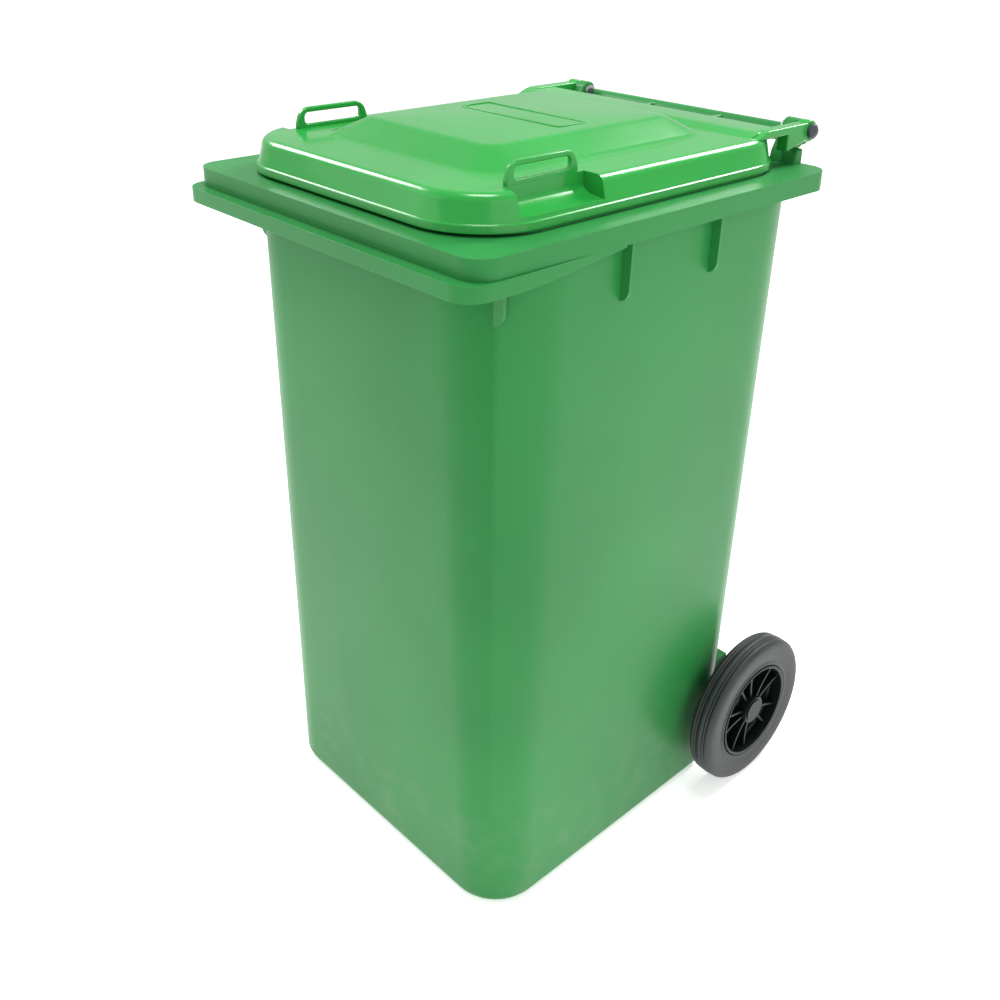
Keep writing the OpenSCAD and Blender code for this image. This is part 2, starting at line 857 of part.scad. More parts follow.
body();
lid();
hinge_pin(-1);  // hinge_pin_left
hinge_pin(1);  // hinge_pin_right
pin_clip(-1);  // pin_clip_left
pin_clip(1);  // pin_clip_right
axle();
axle_spacer(-1);  // axle_spacer_left
axle_spacer(1);  // axle_spacer_right
wheel_hub(-1);  // wheel_hub_left
wheel_hub(1);  // wheel_hub_right
tyre(-1);  // tyre_left
tyre(1);  // tyre_right
hub_bush(-1);  // hub_bush_left
hub_bush(1);  // hub_bush_right
hub_cap(-1);  // hub_cap_left
hub_cap(1);  // hub_cap_right
lock_pin(-1);  // lock_pin_left
lock_pin(1);  // lock_pin_right
lock_spring(-1);  // lock_spring_left
lock_spring(1);  // lock_spring_right
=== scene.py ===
"""Looks of a two-wheeled refuse bin: moulded tub, hinged lid, rubber wheels and steel axle.

Every length is in metres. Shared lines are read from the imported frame, so each sub-assembly
sits where the frame puts it.
"""

import logging
import math
from dataclasses import dataclass, field
from enum import Enum
from typing import Callable, Iterable, Sequence

import bmesh
import bpy
from mathutils import Matrix, Vector


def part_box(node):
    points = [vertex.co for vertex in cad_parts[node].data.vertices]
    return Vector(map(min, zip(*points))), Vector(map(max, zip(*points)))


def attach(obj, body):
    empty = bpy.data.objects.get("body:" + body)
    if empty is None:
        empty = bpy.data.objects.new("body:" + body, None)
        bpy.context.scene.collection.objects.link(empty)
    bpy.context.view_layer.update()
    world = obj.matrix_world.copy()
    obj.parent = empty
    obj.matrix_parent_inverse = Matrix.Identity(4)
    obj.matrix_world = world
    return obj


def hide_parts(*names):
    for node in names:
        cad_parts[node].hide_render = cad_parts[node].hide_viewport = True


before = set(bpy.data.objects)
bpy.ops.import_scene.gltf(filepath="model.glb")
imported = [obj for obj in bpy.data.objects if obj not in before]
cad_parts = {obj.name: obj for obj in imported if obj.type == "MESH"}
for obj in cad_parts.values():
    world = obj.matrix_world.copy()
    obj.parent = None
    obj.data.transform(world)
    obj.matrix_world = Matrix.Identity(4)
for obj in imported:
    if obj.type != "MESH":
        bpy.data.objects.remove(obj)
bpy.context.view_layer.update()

log = logging.getLogger("refuse_bin")

Colour = tuple[float, float, float, float]
Point = tuple[float, float]


# ---------------------------------------------------------------- shader maths


class Value:
    """A shader socket that takes part in sums."""

    def __init__(self, graph: "Graph", socket: bpy.types.NodeSocket) -> None:
        """Wraps one output socket."""
        self.graph = graph
        self.socket = socket

    def _sum(self, operation: str, first: "Value | float", second: "Value | float") -> "Value":
        """Adds one Math node."""
        return self.graph.node("ShaderNodeMath", {"operation": operation}, {0: first, 1: second})

    def __add__(self, other: "Value | float") -> "Value":
        """Sum."""
        return self._sum("ADD", self, other)

    def __radd__(self, other: float) -> "Value":
        """Sum with a plain number on the left."""
        return self._sum("ADD", other, self)

    def __sub__(self, other: "Value | float") -> "Value":
        """Difference."""
        return self._sum("SUBTRACT", self, other)

    def __rsub__(self, other: float) -> "Value":
        """Difference from a plain number."""
        return self._sum("SUBTRACT", other, self)

    def __mul__(self, other: "Value | float") -> "Value":
        """Product."""
        return self._sum("MULTIPLY", self, other)

    def __rmul__(self, other: float) -> "Value":
        """Product with a plain number on the left."""
        return self._sum("MULTIPLY", other, self)


class Graph:
    """The node tree of one material, ending in a Principled shader."""

    def __init__(self, name: str) -> None:
        """Starts a material with an empty tree."""
        self.material = bpy.data.materials.new(name)
        self.material.use_nodes = True
        self.tree = self.material.node_tree
        self.tree.nodes.clear()

    def node(
        self,
        kind: str,
        settings: dict[str, object] | None = None,
        inputs: dict[int | str, object] | None = None,
        output: int | str = 0,
    ) -> Value:
        """Adds any node."""
        made = self.tree.nodes.new(kind)
        for key, value in (settings or {}).items():
            setattr(made, key, value)
        for key, value in (inputs or {}).items():
            if isinstance(value, Value):
                self.tree.links.new(value.socket, made.inputs[key])
            else:
                made.inputs[key].default_value = value
        return Value(self, made.outputs[output])

    def place(self, stretch: tuple[float, float, float] = (1.0, 1.0, 1.0)) -> Value:
        """Gives the object's own coordinates in metres, stretched along each axis."""
        where = self.node("ShaderNodeTexCoord", output="Object")
        return self.node("ShaderNodeMapping", inputs={"Vector": where, "Scale": stretch}, output="Vector")

    def height(self) -> Value:
        """Gives the height above the ground in metres."""
        where = self.node("ShaderNodeTexCoord", output="Object")
        return self.node("ShaderNodeSeparateXYZ", inputs={"Vector": where}, output="Z")

    def noise(self, where: Value, scale: float, detail: float = 3.0, roughness: float = 0.55) -> Value:
        """Adds smooth noise between 0 and 1."""
        return self.node(
            "ShaderNodeTexNoise",
            inputs={"Vector": where, "Scale": scale, "Detail": detail, "Roughness": roughness},
        )

    def step(self, value: Value, low: float, high: float) -> Value:
        """Rises smoothly from 0 at low to 1 at high."""
        return self.node(
            "ShaderNodeMapRange",
            {"interpolation_type": "SMOOTHSTEP"},
            {"Value": value, "From Min": low, "From Max": high},
        )

    def mix(self, first: Value | Colour, second: Value | Colour, share: Value | float) -> Value:
        """Blends two colours."""
        return self.node("ShaderNodeMix", {"data_type": "RGBA"}, {0: share, 6: first, 7: second}, 2)

    def bump(self, height: Value, depth: float, under: Value | None = None) -> Value:
        """Turns a height into a surface normal."""
        inputs: dict[int | str, object] = {"Height": height, "Distance": depth, "Strength": 1.0}
        if under is not None:
            inputs["Normal"] = under
        return self.node("ShaderNodeBump", inputs=inputs)

    def finish(self, sockets: dict[int | str, object]) -> bpy.types.Material:
        """Ends the graph in a Principled shader."""
        shader = self.node("ShaderNodeBsdfPrincipled", inputs=sockets)
        end = self.tree.nodes.new("ShaderNodeOutputMaterial")
        self.tree.links.new(shader.socket, end.inputs["Surface"])
        return self.material


# ---------------------------------------------------------------- finishes


class Gloss(Enum):
    """How a mould was polished, as the plastic's specular level, coat weight and coat roughness."""

    SATIN = (0.18, 0.14, 0.22)
    POLISHED = (0.30, 0.32, 0.10)


def shade(colour: Colour, factor: float) -> Colour:
    """Gives a darker or lighter version of a colour."""
    return (colour[0] * factor, colour[1] * factor, colour[2] * factor, 1.0)


@dataclass(frozen=True)
class MouldedPlastic:
    """Injection-moulded plastic with flow marks, fine grain and light scuffs."""

    name: str
    colour: Colour
    gloss: Gloss = Gloss.SATIN
    roughness: float = 0.42
    grain_depth: float = 0.00012
    scuff: float = 0.10
    dust: float = 0.0
    dust_colour: Colour = (0.30, 0.29, 0.24, 1.0)
    dust_height: float = 0.26
    swell_depth: float = 0.00045

    def material(self) -> bpy.types.Material:
        """Builds the node tree.

        Returns:
            The material.
        """
        graph = Graph(self.name)
        where = graph.place()
        clouds = graph.noise(where, 2.6, 2.0)
        flow = graph.noise(graph.place((9.0, 9.0, 1.1)), 2.0, 4.0, 0.6)
        colour = graph.mix(shade(self.colour, 0.90), shade(self.colour, 1.08), graph.step(clouds, 0.32, 0.68))
        colour = graph.mix(colour, shade(self.colour, 1.16), 0.30 * graph.step(flow, 0.55, 0.85))
        scratches = graph.noise(graph.place((70.0, 70.0, 6.0)), 3.0, 2.0, 0.5)
        marks = graph.step(scratches, 0.69, 0.77) * self.scuff
        colour = graph.mix(colour, shade(self.colour, 1.7), marks)
        if self.dust > 0.0:
            low_down = 1.0 - graph.step(graph.height(), 0.02, self.dust_height)
            patches = graph.step(graph.noise(where, 16.0, 5.0, 0.65), 0.42, 0.72)
            colour = graph.mix(colour, self.dust_colour, low_down * patches * self.dust)
        grain = graph.noise(where, 760.0, 2.0)
        pebbles = graph.noise(where, 210.0, 2.0)
        normal = graph.bump(grain * 0.7 + pebbles * 0.3, self.grain_depth)
        if self.gloss is Gloss.POLISHED:
            normal = graph.bump(graph.noise(where, 22.0, 2.0), self.swell_depth, normal)
        specular, coat, coat_roughness = self.gloss.value
        sockets: dict[int | str, object] = {
            "Base Color": colour,
            "Roughness": self.roughness + (flow - 0.5) * 0.10 + marks * 0.5,
            "Normal": normal,
            "IOR": 1.50,
            "Specular IOR Level": specular,
            "Coat IOR": 1.40,
            "Coat Weight": coat,
            "Coat Roughness": coat_roughness,
        }
        return graph.finish(sockets)


@dataclass(frozen=True)
class TyreRubber:
    """Solid rubber with bloom patches and fine specks, rougher where the bloom lies."""

    name: str = "tyre_rubber"
    colour: Colour = (0.011, 0.014, 0.016, 1.0)
    dusty: Colour = (0.040, 0.043, 0.043, 1.0)

    def material(self) -> bpy.types.Material:
        """Builds the node tree.

        Returns:
            The material.
        """
        graph = Graph(self.name)
        where = graph.place()
        bloom = graph.noise(where, 9.0, 4.0, 0.6)
        specks = graph.noise(where, 420.0, 3.0)
        colour = graph.mix(self.colour, self.dusty, 0.34 * graph.step(bloom, 0.35, 0.75))
        colour = graph.mix(colour, self.dusty, 0.20 * graph.step(specks, 0.55, 0.75))
        sockets: dict[int | str, object] = {
            "Base Color": colour,
            "Roughness": 0.46 + 0.16 * bloom,
            "Normal": graph.bump(specks, 0.00025),
            "IOR": 1.52,
        }
        return graph.finish(sockets)


@dataclass(frozen=True)
class ZincSteel:
    """Zinc-plated or bright steel with fine lines from drawing."""

    name: str
    colour: Colour = (0.58, 0.59, 0.61, 1.0)
    along: tuple[float, float, float] = (4.0, 190.0, 190.0)

    def material(self) -> bpy.types.Material:
        """Builds the node tree.

        Returns:
            The material.
        """
        graph = Graph(self.name)
        lines = graph.noise(graph.place(self.along), 8.0, 3.0)
        patches = graph.noise(graph.place(), 60.0, 4.0, 0.65)
        tarnish = graph.step(patches, 0.48, 0.78)
        colour = graph.mix(self.colour, shade(self.colour, 0.62), 0.55 * tarnish)
        sockets: dict[int | str, object] = {
            "Base Color": colour,
            "Metallic": 1.0,
            "Roughness": 0.26 + 0.16 * lines + 0.18 * tarnish,
            "Normal": graph.bump(lines, 0.00006),
        }
        return graph.finish(sockets)


@dataclass(frozen=True)
class StudioFloor:
    """A plain pale floor."""

    name: str = "studio_floor"
    colour: Colour = (0.93, 0.93, 0.93, 1.0)
    glow: float = 0.54

    def material(self) -> bpy.types.Material:
        """Builds the node tree."""
        graph = Graph(self.name)
        tone = graph.noise(graph.place(), 0.4, 1.0)
        sockets: dict[int | str, object] = {
            "Base Color": graph.mix(self.colour, shade(self.colour, 0.985), tone),
            "Roughness": 0.9,
            "Specular IOR Level": 0.1,
            "Emission Color": self.colour,
            "Emission Strength": self.glow,
        }
        return graph.finish(sockets)


@dataclass
class Finishes:
    """The finish of each material slot, made once and shared."""

    tub: bpy.types.Material = field(init=False)
    lid: bpy.types.Material = field(init=False)
    tyre: bpy.types.Material = field(init=False)
    hub: bpy.types.Material = field(init=False)
    zinc: bpy.types.Material = field(init=False)
    spring: bpy.types.Material = field(init=False)
    pin: bpy.types.Material = field(init=False)
    spacer: bpy.types.Material = field(init=False)
    bush: bpy.types.Material = field(init=False)

    def __post_init__(self) -> None:
        """Makes every material."""
        self.tub = MouldedPlastic("tub_plastic", (0.020, 0.200, 0.044, 1.0), roughness=0.40, dust=0.15).material()
        self.lid = MouldedPlastic(
            "lid_plastic", (0.018, 0.290, 0.042, 1.0), Gloss.POLISHED, roughness=0.22, grain_depth=0.00003, scuff=0.05
        ).material()
        self.tyre = TyreRubber().material()
        self.hub = MouldedPlastic("hub_plastic", (0.004, 0.006, 0.007, 1.0), roughness=0.44, scuff=0.3).material()
        self.zinc = ZincSteel("zinc_steel").material()
        self.spring = ZincSteel("spring_steel", (0.50, 0.51, 0.53, 1.0), (120.0, 120.0, 120.0)).material()
        self.pin = MouldedPlastic("pin_plastic", (0.055, 0.060, 0.070, 1.0), roughness=0.34).material()
        self.spacer = MouldedPlastic("spacer_plastic", (0.018, 0.020, 0.022, 1.0), roughness=0.5).material()
        self.bush = MouldedPlastic("bush_plastic", (0.62, 0.61, 0.56, 1.0), roughness=0.38).material()


# ---------------------------------------------------------------- mesh making


@dataclass(frozen=True)
class Plan:
    """A round-cornered rectangle seen from above, even about the middle of the bin."""

    width: float
    front: float
    rear: float
    radius: float

    def grown(self, by: float) -> "Plan":
        """Gives the plan with every side moved out."""
        return Plan(self.width + 2 * by, self.front - by, self.rear + by, self.radius + by)


@dataclass(frozen=True)
class Level:
    """One loop of a lofted shell: a plan at a height, which may be shaped further."""

    plan: Plan
    z: float
    shape: Callable[[Vector], Vector] | None = None
    bevel: float = 0.0
    segments: int = 4


class Side(Enum):
    """The plane that a flat outline lies in before it is extruded."""

    FROM_SIDE = Matrix(((0, 0, 1, 0), (1, 0, 0, 0), (0, 1, 0, 0), (0, 0, 0, 1)))
    FROM_FRONT = Matrix(((1, 0, 0, 0), (0, 0, -1, 0), (0, 1, 0, 0), (0, 0, 0, 1)))
    FROM_ABOVE = Matrix.Identity(4)


class Shape:
    """A mesh in the making."""

    STEPS = 14
    CUTS = 13
    MERGE = 0.00015
    FINE_MERGE = 0.00002
    SHARP = 34.0

    def __init__(self) -> None:
        """Starts empty."""
        self.bm = bmesh.new()

    # -- building --

    def add(self, other: "Shape") -> "Shape":
        """Takes in another shape's faces."""
        spare = bpy.data.meshes.new("spare")
        other.bm.to_mesh(spare)
        self.bm.from_mesh(spare)
        bpy.data.meshes.remove(spare)
        other.bm.free()
        return self

    def rounded(self, items: Iterable[object], radius: float, steps: int, affect: str = "EDGES") -> None:
        """Rounds edges, or the corners of a flat face when affect is VERTICES."""
        bmesh.ops.bevel(
            self.bm,
            geom=list(items),
            offset=radius,
            offset_type="OFFSET",
            segments=steps,
            profile=0.5,
            affect=affect,
            clamp_overlap=affect == "EDGES",
            material=-1,
        )

    def ring(self, corners: Sequence[Point], radius: float, steps: int, cuts: int = 0) -> list[Vector]:
        """Draws a closed outline with rounded corners.

        Args:
            corners: Its corners, counter-clockwise.
            radius: Its corner radius.
            steps: How many edges each corner's arc has.
            cuts: How many more points each straight side gets.

        Returns:
            Its points in order, from the one nearest the middle of its lowest side.
        """
        draft = Shape()
        verts = [draft.bm.verts.new((x, y, 0.0)) for x, y in corners]
        draft.bm.faces.new(verts)
        draft.rounded(verts, radius, steps, "VERTICES")
        bmesh.ops.delete(draft.bm, geom=list(draft.bm.faces), context="FACES_ONLY")
        if cuts:
            longest = sorted(draft.bm.edges, key=lambda edge: edge.calc_length())[-len(corners):]
            bmesh.ops.subdivide_edges(draft.bm, edges=longest, cuts=cuts)
        middle = sum(x for x, _ in corners) / len(corners)
        here = min(draft.bm.verts, key=lambda vert: (round(vert.co.y, 5), abs(vert.co.x - middle)))
        walk, came = [here], None
        ahead = max((edge.other_vert(here) for edge in here.link_edges), key=lambda vert: vert.co.x)
        while ahead is not walk[0]:
            came, here = here, ahead
            walk.append(here)
            ahead = next(edge.other_vert(here) for edge in here.link_edges if edge.other_vert(here) is not came)
        spots = [vert.co.copy() for vert in walk]
        draft.bm.free()
        return spots

    def level_points(self, level: Level) -> list[Vector]:
        """Gives the points of one loop of a lofted shell."""
        half = level.plan.width / 2
        front, rear = level.plan.front, level.plan.rear
        corners = ((-half, front), (half, front), (half, rear), (-half, rear))
        spots = self.ring(corners, level.plan.radius, self.STEPS, self.CUTS)
        raised = [Vector((spot.x, spot.y, level.z)) for spot in spots]
        return [level.shape(spot) for spot in raised] if level.shape else raised

    def start_ring(self, spots: Sequence[Vector]) -> list[bmesh.types.BMVert]:
        """Adds the first loop of a skin."""
        ring = [self.bm.verts.new(spot) for spot in spots]
        for first, second in zip(ring, ring[1:] + ring[:1]):
            self.bm.edges.new((first, second))
        return ring

    def ring_edges(self, ring: Sequence[bmesh.types.BMVert]) -> list[bmesh.types.BMEdge]:
        """Gives the edges that join a loop's vertices."""
        return [self.bm.edges.get(pair) for pair in zip(ring, list(ring[1:]) + [ring[0]])]

    def carry_ring(self, ring: Sequence[bmesh.types.BMVert], spots: Sequence[Vector]) -> list[bmesh.types.BMVert]:
        """Extrudes a loop and carries each new vertex to its place on the next one."""
        made = bmesh.ops.extrude_edge_only(self.bm, edges=self.ring_edges(ring))
        fresh = {item for item in made["geom"] if isinstance(item, bmesh.types.BMVert)}
        carried = [next(e.other_vert(v) for e in v.link_edges if e.other_vert(v) in fresh) for v in ring]
        for vert, spot in zip(carried, spots):
            vert.co = spot
        return carried

    def loft(self, levels: Sequence[Level], close_start: bool = True, close_end: bool = True) -> "Shape":
        """Wraps a skin through loops, one above another or one inside another.

        Args:
            levels: The loops in order.
            close_start: Whether the first loop is filled.
            close_end: Whether the last loop is filled.

        Returns:
            This shape.
        """
        rings = [self.start_ring(self.level_points(levels[0]))]
        for level in levels[1:]:
            rings.append(self.carry_ring(rings[-1], self.level_points(level)))
        for wanted, ring in ((close_start, rings[0]), (close_end, rings[-1])):
            if wanted:
                bmesh.ops.edgeloop_fill(self.bm, edges=self.ring_edges(ring))
        for level, edges in [(level, self.ring_edges(ring)) for level, ring in zip(levels, rings)]:
            if level.bevel:
                self.rounded(edges, level.bevel, level.segments)
        bmesh.ops.remove_doubles(self.bm, verts=self.bm.verts, dist=self.MERGE)
        bmesh.ops.recalc_face_normals(self.bm, faces=self.bm.faces)
        return self

    def plate(
        self,
        corners: Sequence[Point],
        low: float,
        high: float,
        side: Side = Side.FROM_SIDE,
        radii: Sequence[float] | float = 0.0,
        steps: int = 5,
    ) -> "Shape":
        """Adds a flat outline extruded between two planes."""
        part = Shape()
        verts = [part.bm.verts.new((x, y, 0.0)) for x, y in corners]
        part.bm.faces.new(verts)
        sizes = [radii] * len(verts) if isinstance(radii, float) else list(radii)
        for radius in sorted(set(sizes)):
            if radius > 0.0:
                part.rounded([v for v, size in zip(verts, sizes) if size == radius], radius, steps, "VERTICES")
        part.thicken(low, high, side)
        return self.add(part)

    def thicken(self, low: float, high: float, side: Side) -> None:
        """Extrudes every face of a flat shape and turns it into its plane."""
        if side is Side.FROM_FRONT:
            low, high = -high, -low
        bmesh.ops.translate(self.bm, verts=self.bm.verts, vec=(0.0, 0.0, low))
        made = bmesh.ops.extrude_face_region(self.bm, geom=list(self.bm.faces))
        raised = [item for item in made["geom"] if isinstance(item, bmesh.types.BMVert)]
        bmesh.ops.translate(self.bm, verts=raised, vec=(0.0, 0.0, high - low))
        bmesh.ops.transform(self.bm, matrix=side.value, verts=self.bm.verts)
        bmesh.ops.recalc_face_normals(self.bm, faces=self.bm.faces)

    def frame_plate(
        self, outer: Sequence[Point], inner: Sequence[Point], radii: Point, low: float, high: float, side: Side
    ) -> "Shape":
        """Adds a flat frame: an outline with a like-cornered window through it."""
        part = Shape()
        outline, window = (part.ring(corners, radius, 6, 1) for corners, radius in zip((outer, inner), radii))
        part.carry_ring(part.start_ring(outline), window)
        part.thicken(low, high, side)
        return self.add(part)

    def rod(self, start: Vector, length: float, radius: float, segments: int = 48) -> "Shape":
        """Adds a round bar along X."""
        part = Shape()
        place = Matrix.Translation(start + Vector((length / 2, 0.0, 0.0))) @ Matrix.Rotation(math.pi / 2, 4, "Y")
        bmesh.ops.create_cone(
            part.bm, cap_ends=True, segments=segments, radius1=radius, radius2=radius, depth=length, matrix=place
        )
        return self.add(part)

    def turned(self, profile: Sequence[Point], middle: Vector, segments: int = 96) -> "Shape":
        """Adds a closed profile turned about an axis along X.

        Args:
            profile: Points as a distance along the axis and a radius.
            middle: A point on the axis that the distances count from.
            segments: How many steps the turn has.

        Returns:
            This shape.
        """
        part = Shape()
        verts = [part.bm.verts.new((x, radius, 0.0)) for x, radius in profile]
        edges = [part.bm.edges.new(pair) for pair in zip(verts, verts[1:] + verts[:1])]
        bmesh.ops.spin(
            part.bm,
            geom=verts + edges,
            cent=(0.0, 0.0, 0.0),
            axis=(1.0, 0.0, 0.0),
            angle=math.tau,
            steps=segments,
            use_merge=True,
            use_duplicate=False,
        )
        bmesh.ops.remove_doubles(part.bm, verts=part.bm.verts, dist=self.FINE_MERGE)
        bmesh.ops.recalc_face_normals(part.bm, faces=part.bm.faces)
        bmesh.ops.translate(part.bm, verts=part.bm.verts, vec=middle)
        return self.add(part)

    # -- changing --

    def mirrored(self) -> "Shape":
        """Adds the mirror image on the other side of the bin."""
        made = bmesh.ops.duplicate(self.bm, geom=list(self.bm.verts) + list(self.bm.edges) + list(self.bm.faces))
        verts = [item for item in made["geom"] if isinstance(item, bmesh.types.BMVert)]
        faces = [item for item in made["geom"] if isinstance(item, bmesh.types.BMFace)]
        bmesh.ops.scale(self.bm, verts=verts, vec=(-1.0, 1.0, 1.0))
        bmesh.ops.reverse_faces(self.bm, faces=faces)
        return self

    def cut_by(self, other: "Shape") -> "Shape":
        """Cuts another solid away from this one."""
        mine, theirs = self._spare_object(), other._spare_object()
        cut = mine.modifiers.new("cut", "BOOLEAN")
        cut.operation = "DIFFERENCE"
        cut.solver = "EXACT"
        cut.object = theirs
        result = bpy.data.meshes.new_from_object(mine.evaluated_get(bpy.context.evaluated_depsgraph_get()))
        self.bm.clear()
        self.bm.from_mesh(result)
        for spare in (mine, theirs):
            bpy.data.meshes.remove(spare.data)
        bpy.data.meshes.remove(result)
        return self

    def _spare_object(self) -> bpy.types.Object:
        """Puts the shape in an object of its own for a moment."""
        mesh = bpy.data.meshes.new("spare")
        self.bm.to_mesh(mesh)
        made = bpy.data.objects.new("spare", mesh)
        bpy.context.scene.collection.objects.link(made)
        return made

    # -- finishing --

    def piece(
        self,
        name: str,
        body: str,
        slot: str,
        material: bpy.types.Material,
        edge: float = 0.0,
        edge_steps: int = 3,
        wall: float = 0.0,
        replaces: Sequence[str] = (),
    ) -> bpy.types.Object:
        """Makes the shape a finished piece.

        Args:
            name: The piece's name.
            body: The body it moves with.
            slot: Not used.
            material: Its finish.
            edge: The radius of its edges.
            edge_steps: How many faces an edge has across.
            wall: A thickness that is added on the inside.
            replaces: The frame's nodes that it stands for.

        Returns:
            The piece.
        """
        mesh = bpy.data.meshes.new(name)
        self.bm.to_mesh(mesh)
        self.bm.free()
        mesh.shade_smooth()
        made = bpy.data.objects.new(name, mesh)
        bpy.context.scene.collection.objects.link(made)
        made.data.materials.append(material)
        if wall:
            thick = made.modifiers.new("wall", "SOLIDIFY")
            thick.thickness = wall
            thick.offset = -1.0
            thick.use_even_offset = True
        if edge:
            rounding = made.modifiers.new("edges", "BEVEL")
            rounding.width = edge
            rounding.segments = edge_steps
            rounding.limit_method = "ANGLE"
            rounding.angle_limit = math.radians(self.SHARP)
            rounding.harden_normals = True
        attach(made, body)
        if replaces:
            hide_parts(*replaces)
        log.info("%s: %d faces before its modifiers", name, len(mesh.polygons))
        return made


def middle_of(node: str) -> Vector:
    """Gives the middle of a frame node's box."""
    low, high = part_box(node)
    return (Vector(low) + Vector(high)) / 2


def ease(value: float) -> float:
    """Rises smoothly from 0 to 1 and is held at both ends."""
    held = min(max(value, 0.0), 1.0)
    return held * held * (3.0 - 2.0 * held)


# ---------------------------------------------------------------- tub


@dataclass
class Tub:
    """The tapered tub with its rim and two-step lifting lip."""

    finish: bpy.types.Material
    width: float = 0.538
    depth: float = 0.592
    side_lean: float = 0.013
    front_lean: float = 0.012
    rear_lean: float = 0.044
    top_radius: float = 0.106
    floor_radius: float = 0.074
    floor_edge: float = 0.016
    wall: float = 0.004
    floor: float = 0.006
    rim_z: float = 1.000
    shoulder: float = 0.024
    rim_side: float = 0.0185
    rim_front: float = 0.047
    rim_rear: float = 0.016
    rim_radius: float = 0.032
    rim_plate: float = 0.005
    skirt: float = 0.004
    skirt_depth: float = 0.026
    lip: float = 0.017
    lip_drop: float = 0.025
    lip_depth: float = 0.019
    side_step: float = 0.0035
    lip_hold: float = 0.050
    lip_reach: float = 0.225
    lip_end: float = 0.006
    lip_buried: float = 0.0006
    foot_reach: float = 0.2925
    mouth_side: float = 0.031
    mouth_front: float = 0.008
    mouth_rear: float = 0.024
    mouth_radius: float = 0.086
    bead: float = 0.003
    bead_foot: float = 0.0045
    arch_front: float = 0.052
    arch_radius: float = 0.030
    clear: float = 0.05
    lip_front_y: float = field(init=False)
    front_y: float = field(init=False)
    rear_y: float = field(init=False)

    def __post_init__(self) -> None:
        """Reads where the tub stands from the frame."""
        self.lip_front_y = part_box("body")[0].y
        self.front_y = self.lip_front_y + self.lip + self.rim_front
        self.rear_y = self.front_y + self.depth

    def floor_plan(self) -> Plan:
        """Gives the outside of the tub at the floor."""
        width = self.width - 2 * self.side_lean
        return Plan(width, self.front_y + self.front_lean, self.rear_y - self.rear_lean, self.floor_radius)

    def top_plan(self) -> Plan:
        """Gives the outside of the tub at its shoulder."""
        return Plan(self.width, self.front_y, self.rear_y, self.top_radius)

    def mouth_plan(self) -> Plan:
        """Gives the mouth."""
        width = self.width - 2 * self.mouth_side
        return Plan(width, self.front_y + self.mouth_front, self.rear_y - self.mouth_rear, self.mouth_radius)

    def rim_plan(self) -> Plan:
        """Gives the rim's edge."""
        width = self.width + 2 * self.rim_side
        return Plan(width, self.front_y - self.rim_front, self.rear_y + self.rim_rear, self.rim_radius)

    def upper_plan(self, inset: float = 0.0) -> Plan:
        """Gives the rim's upper part, which stands back from the lip on both sides."""
        rim = self.rim_plan()
        return Plan(rim.width - 2 * self.side_step, rim.front, rim.rear, self.rim_radius).grown(-inset)

    def lip_plan(self, inset: float = 0.0) -> Plan:
        """Gives the rim with the lip stood out in front of it."""
        rim = self.rim_plan()
        return Plan(rim.width, self.lip_front_y, rim.rear, self.rim_radius).grown(-inset)

    def sink(self, point: Vector) -> Vector:
        """Draws the lip in on both sides behind the front corners, so it fades into the rim."""
        rim = self.rim_plan()
        half = rim.width / 2
        fade = ease((point.y - rim.front - self.lip_hold) / (self.lip_reach - self.lip_hold))
        pulled = fade * abs(point.x) / half * (self.side_step + self.lip_buried) / half
        return Vector((point.x * (1.0 - pulled), point.y, point.z))

    def sunk_foot(self, point: Vector) -> Vector:
        """Raises the lip's foot toward the rear while the lip fades."""
        along = ease((point.y - self.rim_plan().front - self.lip_hold) / (self.foot_reach - self.lip_hold))
        sunk = self.sink(point)
        sunk.z += along * (self.lip_drop + self.lip_depth - self.skirt_depth)
        return sunk

    def outside(self) -> Shape:
        """Builds the outer solid, from the floor over the rim to the rain bead.

        Returns:
            The solid.
        """
        top, under = self.rim_z, self.rim_z - self.rim_plate
        foot = self.rim_z - self.skirt_depth
        levels = [
            Level(self.floor_plan(), 0.0, bevel=self.floor_edge, segments=6),
            Level(self.top_plan(), top - self.rim_plate - self.shoulder),
            Level(self.mouth_plan().grown(self.wall), under),
            Level(self.upper_plan(self.skirt), under),
            Level(self.upper_plan(self.skirt), foot),
            Level(self.upper_plan(), foot),
            Level(self.upper_plan(), top),
            Level(self.mouth_plan().grown(self.bead_foot), top),
            Level(self.mouth_plan().grown(self.bead), top + self.bead),
        ]
        return Shape().loft(levels)

    def lip_band(self) -> Shape:
        """Builds the lip that wraps the front and both front corners of the rim.

        Returns:
            The lip, open where it is buried in the rim.
        """
        ledge = self.rim_z - self.lip_drop
        foot = ledge - self.lip_depth
        buried = self.skirt / 2
        levels = [
            Level(self.upper_plan(buried), ledge - self.rim_plate, self.sink),
            Level(self.lip_plan(self.skirt), ledge - self.rim_plate, self.sink),
            Level(self.lip_plan(self.skirt), foot, self.sunk_foot),
            Level(self.lip_plan(), foot, self.sunk_foot),
            Level(self.lip_plan(), ledge, self.sink),
            Level(self.upper_plan(buried), ledge, self.sink),
        ]
        band = Shape().loft(levels, close_start=False, close_end=False)
        end = Vector((0.0, self.rim_plan().front + self.lip_reach + self.lip_end, 0.0))
        parts = [*band.bm.verts, *band.bm.edges, *band.bm.faces]
        bmesh.ops.bisect_plane(band.bm, geom=parts, plane_co=end, plane_no=(0.0, 1.0, 0.0), clear_outer=True)
        return band

